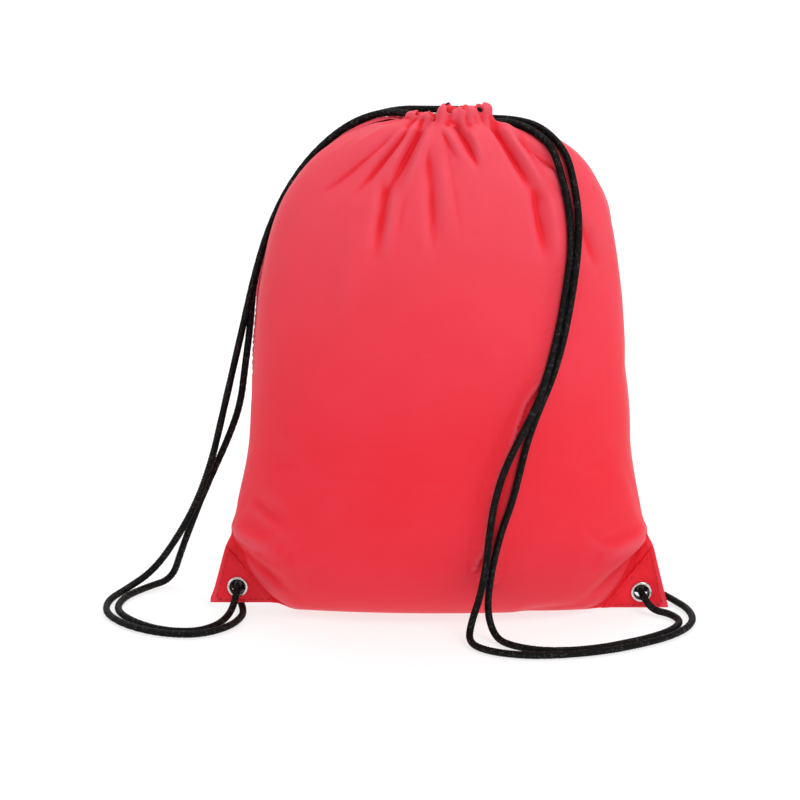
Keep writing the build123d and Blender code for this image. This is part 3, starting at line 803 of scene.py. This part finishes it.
def mark_folds(panel):
    """Keep on each point whether it lies in a valley (towards 0) or on a ridge (towards 1)."""
    mesh = panel.data
    bm = bmesh.new()
    bm.from_mesh(mesh)
    bm.verts.ensure_lookup_table()
    bends = []
    for vert in bm.verts:
        near = [edge.other_vert(vert).co for edge in vert.link_edges]
        middle = sum(near, Vector()) / max(len(near), 1)
        span = sum((spot - vert.co).length for spot in near) / max(len(near), 1)
        bends.append((vert.co - middle).dot(vert.normal) / max(span, 1e-5))
    for _ in range(2):
        bends = [0.5 * bends[v.index] + 0.5 * sum(bends[e.other_vert(v).index] for e in v.link_edges)
                 / max(len(v.link_edges), 1) for v in bm.verts]
    bm.free()
    # the cloth's material paints shade into valleys and sheen onto ridges from this mark
    tone = mesh.attributes.new("fold_tone", "FLOAT", "POINT")
    tone.data.foreach_set("value", [min(max(0.5 + FOLD_GAIN * bend, 0), 1) for bend in bends])


FOLD_GAIN = 7.0
cords_near = cord_tree()
for panel in (front_cloth, back_cloth):
    press_under_cords(panel, cords_near)
    mark_folds(panel)

# %% [markdown]
# ## Polyester cloth
# Thin dyed polyester has a tight plain weave, a soft sheen that whitens its edges, and a colour that is
# deeper where the cloth is in shade or doubled. Two crossed sets of fine waves on the cut cloth's own
# places make the threads. Broad noise shifts the colour a little, as light does through uneven filling,
# and the colour has painted shade, a deeper red, in the valleys marked above, and a painted sheen, paler
# and pinker, on the ridges and over the bag's upper part.

# %% Cloth material
CLOTH_RED = (0.840, 0.022, 0.044)
CLOTH_DEEP = (0.815, 0.014, 0.030)
CLOTH_PAINTED_SHEEN = (0.770, 0.084, 0.122)  # painted sheen: the paler pink painted over the upper part of the bag and onto the ridges
# painted shade: the deeper red painted into the fold valleys
CLOTH_PAINTED_VALLEY_SHADE = (0.760, 0.006, 0.018)
THREAD_PITCH = 0.42 * MM
PAINTED_SHEEN_HEIGHTS = (0.14, 0.38)  # where the painted top sheen starts, and where it is strongest
PAINTED_SHEEN_MOST = 0.72


def weave_height(finish, place):
    """Fine crossed threads, as one height between 0 and 1."""
    waves = []
    for direction in ("X", "Y"):
        wave = finish.add("TexWave", wave_type="BANDS", bands_direction=direction, wave_profile="SIN",
                          Scale=math.tau / THREAD_PITCH / 20, Distortion=0.35, Detail=1)
        wave.inputs["Detail Scale"].default_value = 0.6
        finish.link(place, wave, "Vector")
        waves.append(wave.outputs["Fac"])
    return finish.math("MULTIPLY", *waves)


def make_cloth_material():
    finish = Finish("red_polyester")
    place = finish.attribute("cut_place", "Vector")
    broad = finish.noise(finish.spots, 11, 3, 0.55)
    slub = finish.noise(place, 900, 2, 0.6)
    dye = finish.math("MULTIPLY_ADD", slub, 0.12, broad)
    colour = finish.ramp(dye, [(0.3, CLOTH_DEEP), (0.7, CLOTH_RED)])
    # painted sheen: the colour turns paler and pinker towards the top of the bag, where light from above
    # falls
    parts = finish.add("SeparateXYZ")
    finish.link(finish.spots, parts, "Vector")
    rise = finish.between(parts.outputs["Z"], 0.0, PAINTED_SHEEN_MOST, *PAINTED_SHEEN_HEIGHTS)
    colour = finish.mix(rise, colour, CLOTH_PAINTED_SHEEN)
    # painted sheen on the fold ridges and painted shade in the fold valleys, from the bend mark
    fold = finish.attribute("fold_tone")
    ridge = finish.ramp(fold, [(0.52, (0, 0, 0)), (0.95, (0.55, 0.55, 0.55))])
    colour = finish.mix(ridge, colour, CLOTH_PAINTED_SHEEN)
    valley = finish.ramp(fold, [(0.08, (0.95, 0.95, 0.95)), (0.48, (0, 0, 0))])
    colour = finish.mix(valley, colour, CLOTH_PAINTED_VALLEY_SHADE)
    crumple = finish.bump(finish.noise(finish.spots, 95, 4, 0.6), 0.22, 0.0012)
    weave = finish.bump(weave_height(finish, place), 0.35, 0.00012, crumple)
    return finish.use({"Base Color": colour, "Normal": weave, "Roughness": finish.between(broad, 0.46, 0.62)},
                      {"Sheen Weight": 0.2, "Sheen Roughness": 0.3, "Sheen Tint": (1.0, 0.62, 0.66, 1),
                       "Specular IOR Level": 0.25})


cloth_material = make_cloth_material()
front_cloth.data.materials.append(cloth_material)
back_cloth.data.materials.append(cloth_material)

# %% [markdown]
# ## The gathered casings
# The top of each panel is folded over and stitched into a hem, the casing, and the cords run inside it.
# Drawn tight, the hem bunches into ruffles. Each casing is a closed band swept along the mouth's rounded
# outline: its outer wall, its rolled top and its inner wall all follow the same gathers as the panel's
# rim, which stands round it, so that body and casing read as one piece of cloth.

# %% The mouth's outline
MOUTH_SHIFT = 6.0
MOUTH_STRAIGHT = 18.0
CORD_BEND = 18.0
CASING_FOOT = 366.4
CASING_TOP = 377.2


def mouth_outline(share, radius):
    """A point and the outward direction on the slot round the mouth, starting at its left end."""
    half = MOUTH_STRAIGHT / 2
    bend = math.pi * radius / 2
    whole = 2 * MOUTH_STRAIGHT + 4 * bend
    run = (share % 1) * whole
    if run < bend:
        angle = math.pi + run / radius
        centre = -half
    elif run < bend + MOUTH_STRAIGHT:
        return Vector((MOUTH_SHIFT - half + run - bend, -radius, 0)), Vector((0, -1, 0))
    elif run < 3 * bend + MOUTH_STRAIGHT:
        angle = 1.5 * math.pi + (run - bend - MOUTH_STRAIGHT) / radius
        centre = half
    elif run < 3 * bend + 2 * MOUTH_STRAIGHT:
        return Vector((MOUTH_SHIFT + half - (run - 3 * bend - MOUTH_STRAIGHT), radius, 0)), Vector((0, 1, 0))
    else:
        angle = 0.5 * math.pi + (run - 3 * bend - 2 * MOUTH_STRAIGHT) / radius
        centre = -half
    out = Vector((math.cos(angle), math.sin(angle), 0))
    return Vector((MOUTH_SHIFT + centre, 0, 0)) + out * radius, out


# %% One ruffled casing
CASING_STEPS = 260
CASING_PROFILE = [  # how far out from the cords' line, height share, and how much the gathers move it
    (3.4, -0.10, 0.2), (3.8, 0.0, 0.3), (4.0, 0.2, 0.4), (4.1, 0.42, 0.4), (4.0, 0.62, 0.4),
    (3.8, 0.8, 0.4), (3.2, 0.93, 0.4), (1.8, 1.0, 0.4), (0.0, 1.0, 0.3), (-1.8, 0.97, 0.4),
    (-3.4, 0.88, 0.6), (-4.2, 0.7, 0.9), (-4.6, 0.45, 1.1), (-4.4, 0.2, 1.0), (-3.8, 0.0, 0.7),
]


def ruffled_casing(name, start, end):
    verts, faces = [], []
    around = len(CASING_PROFILE)
    for i in range(CASING_STEPS + 1):
        share = start + (end - start) * i / CASING_STEPS
        spot, out = mouth_outline(share, CORD_BEND)
        wave = gather_wave(share)
        drop = 1.3 * (0.5 - 0.5 * wave) + 0.5 * noise.noise(Vector((share * 34, 1.7, 0)))
        end_dip = 1.4 * (1 - ease(min(i, CASING_STEPS - i), 0, 14))
        for reach, level, swell in CASING_PROFILE:
            ripple = swell * (1.25 * wave + 0.5 * noise.noise(Vector((share * 60, level * 2.5, reach * 0.3))))
            side = 1 if reach >= 0 else -0.9
            top = CASING_TOP - (drop + end_dip) * max(level, 0)
            height = CASING_FOOT + (top - CASING_FOOT) * level
            point = spot + out * (reach + side * ripple - side * end_dip * 0.6)
            verts.append(Vector((point.x, point.y, height)) * MM)
    for i in range(CASING_STEPS):
        for k in range(around):
            n = (k + 1) % around
            faces.append((i * around + k, (i + 1) * around + k, (i + 1) * around + n, i * around + n))
    casing = object_from(name, verts, faces)
    place = casing.data.attributes.new("cut_place", "FLOAT_VECTOR", "POINT")
    for index in range(len(verts)):
        i, k = divmod(index, around)
        place.data[index].vector = Vector((PANEL_WIDTH * 2 * i / CASING_STEPS * (end - start),
                                           PANEL_LENGTH + 2.4 * k, 0)) * MM
    face_outwards(casing)
    smooth_once(casing)
    # The casings carry no fold_tone mark, which the material reads as a deep valley, so they take the painted
    # valley shade colour all over.
    casing.data.materials.append(cloth_material)
    return casing


FRONT_CASING_SPAN = (0.09, 0.41)
BACK_CASING_SPAN = (0.59, 0.79)
front_casing_cloth = ruffled_casing("front_casing_cloth", *FRONT_CASING_SPAN)
back_casing_cloth = ruffled_casing("back_casing_cloth", *BACK_CASING_SPAN)
print("casing faces", len(front_casing_cloth.data.polygons), len(back_casing_cloth.data.polygons))

# %% [markdown]
# ## Corner patches
# Each flat corner is doubled, front and back, with a small triangle of the same cloth, because the eyelet
# would tear out of one thin layer. The triangle is filled with a fine net of points, so that its edge can
# round over, its stitch line can sink and its middle can wave a little, while it stays flat under the
# eyelet's rim. A Delaunay net takes the outline and the hole as fixed edges.

# %% Patch outline
from mathutils.geometry import delaunay_2d_cdt

PATCH_TOP = (158.6, 50.0)
PATCH_FOOT = 121.0
TIP_ROUND = 4.0
PATCH_T = 1.0
HOLE_R, RIM_R = 6.1, 7.9
STITCH_INSET = 2.6
HEMS = {-1: LEFT_HEM, 1: RIGHT_HEM}
SIDES = ((-1, "left"), (1, "right"))


def patch_corners(side):
    return [Vector((side * TAB_REACH, HEMS[side])), Vector((side * PATCH_TOP[0], PATCH_TOP[1])),
            Vector((side * PATCH_FOOT, HEMS[side]))]


def patch_edge(side):
    """The outline's points, the tip rounded and the long edge a little wavy."""
    tip, top, foot = patch_corners(side)
    to_foot = (foot - tip).normalized()
    to_top = (top - tip).normalized()
    half = to_foot.angle(to_top) / 2
    centre = tip + (to_foot + to_top).normalized() * (TIP_ROUND / math.sin(half))
    setback = TIP_ROUND / math.tan(half)
    first, last = tip + to_foot * setback - centre, tip + to_top * setback - centre
    round_tip = [centre + first.slerp(last, i / 8) for i in range(9)]
    points = round_tip[:]
    for start, end, steps, wave in ((round_tip[-1], top, 30, 0.15), (top, foot, 44, 0.35),
                                    (foot, round_tip[0], 34, 0.15)):
        run = end - start
        across = Vector((-run.y, run.x)).normalized()
        for i in range(1, steps):
            sway = wave * math.sin(i * 1.1 + side) * math.sin(math.pi * i / steps)
            points.append(start + run * (i / steps) + across * sway)
        points.append(end)
    return points[:-1]


def edge_distance(spot, edge):
    nearest = 1e9
    for a, b in zip(edge, edge[1:] + edge[:1]):
        run = b - a
        t = min(max((spot - a).dot(run) / run.length_squared, 0), 1)
        nearest = min(nearest, (spot - a - run * t).length)
    return nearest


def inside(spot, edge):
    odd = False
    for a, b in zip(edge, edge[1:] + edge[:1]):
        if (a.y > spot.y) != (b.y > spot.y) and spot.x < (b.x - a.x) * (spot.y - a.y) / (b.y - a.y) + a.x:
            odd = not odd
    return odd


# %% Patch mesh
NET_PITCH = 1.35
NET_ROW_SHARE = 0.87  # rows lie closer than columns, so that the triangles are near even-sided
HOLE_POINTS = 40


def patch_height(spot, edge, eye):
    """How far the patch's outer face stands off the tab, in millimetres."""
    inward = edge_distance(spot, edge)
    from_eye = (spot - eye).length
    free = ease(from_eye, RIM_R + 0.6, RIM_R + 6)
    height = PATCH_T - 0.6 * (1 - min(inward / 0.9, 1)) ** 2
    height -= 0.32 * math.exp(-((inward - STITCH_INSET) / 0.55) ** 2) * free
    height += (0.45 * noise.noise(Vector((spot.x * 0.09, spot.y * 0.09, 2)))
               + 0.22 * noise.noise(Vector((spot.x * 0.28, spot.y * 0.28, 7)))) * free
    height -= 0.10 * (1 - free) * ease(from_eye, RIM_R - 0.3, RIM_R + 1.2)
    return height


def make_patch(name, side, face):
    edge = patch_edge(side)
    eye = Vector((side * EYELET_X, HEMS[side] + EYELET_RISE))
    hole = [eye + Vector((math.cos(a), math.sin(a))) * HOLE_R
            for a in (math.tau * i / HOLE_POINTS for i in range(HOLE_POINTS))]
    net = []
    low_x, high_x = sorted((side * PATCH_FOOT, side * TAB_REACH))
    for row in range(int(PATCH_TOP[1] / NET_PITCH)):
        for column in range(int((high_x - low_x) / NET_PITCH)):
            spot = Vector((low_x + (column + 0.5 * (row % 2)) * NET_PITCH,
                           HEMS[side] + row * NET_PITCH * NET_ROW_SHARE))
            if (inside(spot, edge) and edge_distance(spot, edge) > 0.7
                    and (spot - eye).length > HOLE_R + 0.8):
                net.append(spot)
    rim = len(edge)
    fixed = [(i, (i + 1) % rim) for i in range(rim)]
    fixed += [(rim + i, rim + (i + 1) % HOLE_POINTS) for i in range(HOLE_POINTS)]
    spots, _, triangles, *_ = delaunay_2d_cdt(edge + hole + net, fixed, [], 0, 1e-5)
    kept = []
    for triangle in triangles:
        middle = sum((spots[i] for i in triangle), Vector((0, 0))) / 3
        if inside(middle, edge) and (middle - eye).length > HOLE_R * 0.995:
            kept.append(tuple(triangle))
    used = sorted({i for triangle in kept for i in triangle})
    number = {old: new for new, old in enumerate(used)}
    outer = [Vector((spots[i].x, face * (TAB_HALF_T + patch_height(spots[i], edge, eye)), spots[i].y))
             for i in used]
    inner = [Vector((spots[i].x, face * (TAB_HALF_T + 0.02), spots[i].y)) for i in used]
    count = len(used)
    faces = [tuple(number[i] for i in triangle) for triangle in kept]
    faces += [tuple(number[i] + count for i in reversed(triangle)) for triangle in kept]
    seen = {}
    for triangle in kept:
        for a, b in zip(triangle, triangle[1:] + triangle[:1]):
            seen[(number[a], number[b])] = True
    for a, b in seen:
        if (b, a) not in seen:
            faces.append((b, a, a + count, b + count))
    patch = object_from(name, [point * MM for point in outer + inner], faces)
    face_outwards(patch)
    place = patch.data.attributes.new("cut_place", "FLOAT_VECTOR", "POINT")
    for index, vert in enumerate(patch.data.vertices):
        place.data[index].vector = Vector((vert.co.x, vert.co.z, 0))
    patch.data.materials.append(patch_material)
    return patch


# %% [markdown]
# The patches are the same polyester, backed with a stiffer coating that shows as a faint grain and makes
# them a little deeper in colour, so their material is the cloth's with a pebbled bump.


# %% Patch material
def make_patch_material():
    finish = Finish("coated_polyester")
    pebbles = finish.add("TexVoronoi", feature="SMOOTH_F1", Scale=1500)
    finish.link(finish.spots, pebbles, "Vector")
    broad = finish.noise(finish.spots, 60, 3)
    tone = finish.ramp(broad, [(0.3, (0.76, 0.008, 0.020)), (0.7, (0.84, 0.014, 0.030))])
    grain = finish.bump(pebbles.outputs["Distance"], 0.3, 0.0002)
    weave = finish.bump(weave_height(finish, finish.attribute("cut_place", "Vector")), 0.3, 0.00012, grain)
    return finish.use({"Base Color": tone, "Normal": weave, "Roughness": finish.between(broad, 0.45, 0.6)},
                      {"Specular IOR Level": 0.25})


patch_material = make_patch_material()
patches = {}
for side, side_name in SIDES:
    for face, face_name in ((-1, "front"), (1, "back")):
        node_name = f"{side_name}_patch_{face_name}"
        patches[node_name] = make_patch(node_name + "_cloth", side, face)
print("patch faces", [len(p.data.polygons) for p in patches.values()])

# %% [markdown]
# ## Stitches
# A lockstitch shows as a row of short threads that rise out of the cloth and dive back in. Each one here
# is a small arched tube with two plies twisted round each other, laid in the sunk stitch line.

# %% Thread along the patches
STITCH_PITCH = 4.5
STITCH_LENGTH = 2.9
THREAD_R = 0.27


def add_stitch(verts, faces, start, end, out):
    """One arched, twisted stitch between two points, rising along out."""
    run = end - start
    along = run.normalized()
    across = along.cross(out)
    first = len(verts)
    for i in range(9):
        t = i / 8
        middle = start + run * t + out * (0.42 * math.sin(math.pi * t) ** 0.6 - 0.24)
        for k in range(8):
            turn = math.tau * k / 8
            ply = 1 + 0.22 * math.cos(2 * (turn - 4.2 * t))
            verts.append(middle + (across * math.cos(turn) + out * math.sin(turn)) * THREAD_R * ply)
    for i in range(8):
        for k in range(8):
            n = (k + 1) % 8
            faces.append((first + i * 8 + k, first + i * 8 + n, first + i * 8 + 8 + n, first + i * 8 + 8 + k))


def patch_thread(name, side):
    verts, faces = [], []
    edge = patch_edge(side)
    eye = Vector((side * EYELET_X, HEMS[side] + EYELET_RISE))
    corners = patch_corners(side)
    middle = sum(corners, Vector((0, 0))) / 3
    for a, b in zip(corners, corners[1:] + corners[:1]):
        run = b - a
        along = run.normalized()
        inward = Vector((-along.y, along.x))
        if inward.dot(middle - a) < 0:
            inward = -inward
        count = int((run.length - 4 * STITCH_INSET) / STITCH_PITCH) + 1
        for i in range(count):
            spot = a + along * ((run.length - (count - 1) * STITCH_PITCH) / 2 + i * STITCH_PITCH)
            spot += inward * STITCH_INSET
            for face in (-1, 1):
                stand = TAB_HALF_T + patch_height(spot, edge, eye)
                ends = [spot + along * STITCH_LENGTH * share for share in (-0.5, 0.5)]
                add_stitch(verts, faces, *(Vector((p.x, face * stand, p.y)) for p in ends),
                           Vector((0, face, 0)))
    return object_from(name, [v * MM for v in verts], faces)


def make_thread_material():
    finish = Finish("red_thread")
    fuzz = finish.noise(finish.spots, 2500, 2)
    tone = finish.ramp(fuzz, [(0.3, (0.36, 0.006, 0.014)), (0.7, (0.52, 0.012, 0.024))])
    return finish.use({"Base Color": tone, "Normal": finish.bump(fuzz, 0.4, 0.0001)}, {"Roughness": 0.55})


thread_material = make_thread_material()
threads = {}
for side, side_name in SIDES:
    threads[side_name] = patch_thread(side_name + "_patch_thread", side)
    threads[side_name].data.materials.append(thread_material)
print("stitch faces", [len(t.data.polygons) for t in threads.values()])

# %% [markdown]
# ## Eyelets in nickel
# Eyelets and washers are pressed from nickel-plated brass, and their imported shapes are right, so they only
# get a finish: bright metal with faint turning marks round it and a few duller handled spots.


# %% Nickel
def make_nickel():
    finish = Finish("nickel_plate")
    smudge = finish.noise(finish.spots, 240, 4)
    rough = finish.ramp(smudge, [(0.35, (0.12, 0.12, 0.12)), (0.75, (0.34, 0.34, 0.34))])
    tone = finish.ramp(smudge, [(0.3, (0.62, 0.61, 0.59)), (0.7, (0.80, 0.79, 0.77))])
    scratches = finish.bump(finish.noise(finish.spots, 1800, 2), 0.12, 0.0001)
    return finish.use({"Base Color": tone, "Roughness": rough, "Normal": scratches}, {"Metallic": 1.0})


nickel = make_nickel()
for node_name in ("left_eyelet", "right_eyelet", "left_washer", "right_washer"):
    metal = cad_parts[node_name]
    metal.data.materials.clear()
    metal.data.materials.append(nickel)

# %% [markdown]
# ## Knots
# Both ends of a cord come through the eyelet and are tied together behind it, which stops them pulling
# back. One end winds round the other and both are trimmed to short tails. The winding is a small coil of
# control points on the same kind of spline as the cords, and the same braided tube follows it.

# %% Knot routes, in millimetres from the knot's middle; +Y is away from the bag
KNOT_MIDDLE_Y = 26.0
WINDING_R = 4.9
WINDING_STEPS = 19
KNOT_STEPS = 14
KNOT_SQUEEZE = 0.1 * MM  # a tight knot makes the braid a little thinner


def winding_route(start):
    """From the cord's end round the core one and a half times, then under itself and out as a tail."""
    turns = [(WINDING_R * math.cos(2.2 + i * 0.53), -3.6 + 0.42 * i, WINDING_R * math.sin(2.2 + i * 0.53))
             for i in range(WINDING_STEPS)]
    return [start, *turns, (-1.5, 5.5, -3.5), (1.5, 8.5, -1.5), (4.5, 13, -1.5), (8, 19, -4)]


def core_route(start):
    return [start, (0.8, -1.5, -1.0), (-0.6, 1.5, 0.6), (-0.8, 5, 0.6), (-2.6, 9.5, 0), (-5, 14, -2),
            (-6.5, 20, -5)]


def make_knot(name, side, cord_ends, middle_z):
    middle = Vector((side * EYELET_X, KNOT_MIDDLE_Y, middle_z))
    strands = []
    for route, end in zip((winding_route, core_route), cord_ends):
        points = [middle + Vector(p) for p in route(tuple(Vector(end) - middle))]
        line = spline_points(name + "_line", points, KNOT_STEPS)
        strands.append(braided_tube(name, line, CORD_D / 2 - KNOT_SQUEEZE))
    with bpy.context.temp_override(active_object=strands[0], selected_editable_objects=strands):
        bpy.ops.object.join()
    knot = strands[0]
    knot.name = name
    knot.data.materials.append(cord_material)
    return knot


left_knot = make_knot("left_knot_tied", -1, (LEFT_ROUTE[-1], LEFT_ROUTE[0]), 14.0)
right_knot = make_knot("right_knot_tied", 1, (RIGHT_ROUTE[0], RIGHT_ROUTE[-1]), 13.0)
print("knot faces", len(left_knot.data.polygons), len(right_knot.data.polygons))

# %% [markdown]
# ## The studio
# A pale floor that runs up into the background glows faintly, like a lit table, so that the red cloth
# throws little of its colour on it. A broad soft light above and in front, and weaker fills at both
# sides, keep the shadows soft and the cloth's colour even.

# %% Floor
FLOOR_PROFILE = [(-3.0, 0.0), (1.2, 0.0), (1.7, 0.04), (2.1, 0.18), (2.35, 0.45), (2.45, 0.9), (2.5, 3.0)]
FLOOR_HALF_WIDTH = 4.0
FLOOR_DROP = 0.0006  # a hair below the bag's lowest point
FLOOR_GLOW = 0.73


def make_floor():
    sides = (-FLOOR_HALF_WIDTH, FLOOR_HALF_WIDTH)
    verts = [Vector((x, y, z - FLOOR_DROP)) for y, z in FLOOR_PROFILE for x in sides]
    faces = [(2 * i, 2 * i + 1, 2 * i + 3, 2 * i + 2) for i in range(len(FLOOR_PROFILE) - 1)]
    floor = object_from("floor", verts, faces)
    finish = Finish("pale_floor")
    grain = finish.noise(finish.spots, 3, 2)
    tone = finish.ramp(grain, [(0.3, (0.25, 0.25, 0.25)), (0.7, (0.28, 0.28, 0.28))])
    floor.data.materials.append(finish.use({"Base Color": tone}, {
        "Emission Color": (1, 1, 1, 1), "Emission Strength": FLOOR_GLOW, "Roughness": 0.9}))


make_floor()


# %% Lights
LIGHTS = [  # name, place, what it is aimed at, size, power
    ("key", (0.9, -1.3, 1.9), (0, 0, 0.2), (0.9, 0.7), 22),
    ("fill_right", (1.7, -0.9, 0.8), (0, 0, 0.2), (0.9, 1.2), 5),
    ("fill_left", (-1.8, -0.6, 0.9), (0, 0, 0.2), (0.9, 1.2), 6),
    ("top", (0.0, 0.4, 2.0), (0, 0, 0.2), (1.2, 0.8), 12),
    ("backdrop", (0.0, 0.9, 1.6), (0, 2.4, 0.5), (2.4, 0.8), 30),
]
WORLD_LIGHT = 0.5


def area_light(name, place, target, size, power):
    data = bpy.data.lights.new(name, "AREA")
    data.shape = "RECTANGLE"
    data.size, data.size_y = size
    data.energy = power
    light = placed(name, data)
    light.location = place
    light.rotation_euler = (Vector(target) - Vector(place)).to_track_quat("-Z", "Y").to_euler()


for light_row in LIGHTS:
    area_light(*light_row)
print("lights", len(LIGHTS))
world = bpy.data.worlds.new("studio")
world.use_nodes = True
world.node_tree.nodes["Background"].inputs["Color"].default_value = (1, 1, 1, 1)
world.node_tree.nodes["Background"].inputs["Strength"].default_value = WORLD_LIGHT
bpy.context.scene.world = world
bpy.context.scene.view_settings.view_transform = "Standard"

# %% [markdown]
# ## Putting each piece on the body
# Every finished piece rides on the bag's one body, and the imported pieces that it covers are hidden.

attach(front_cloth, "root")
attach(back_cloth, "root")
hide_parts("front_panel", "left_side_seam", "right_side_seam", "bottom_seam")
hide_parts("back_panel")


def declare(piece, slot, *nodes):
    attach(piece, "root")
    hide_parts(*nodes)


declare(front_casing_cloth, "cloth", "front_casing", "front_casing_stitching")
declare(back_casing_cloth, "cloth", "back_casing", "back_casing_stitching")
for node_name, patch in patches.items():
    declare(patch, "leathercloth", node_name)
for side_name, thread in threads.items():
    declare(thread, "thread", side_name + "_patch_stitching")
declare(left_knot, "cord", "left_knot")
declare(right_knot, "cord", "right_knot")
for cord_piece, line, tied, node_name in ((left_cord, left_line, left_knot, "left_drawcord"),
                                          (right_cord, right_line, right_knot, "right_drawcord")):
    declare(cord_piece, "cord", node_name)
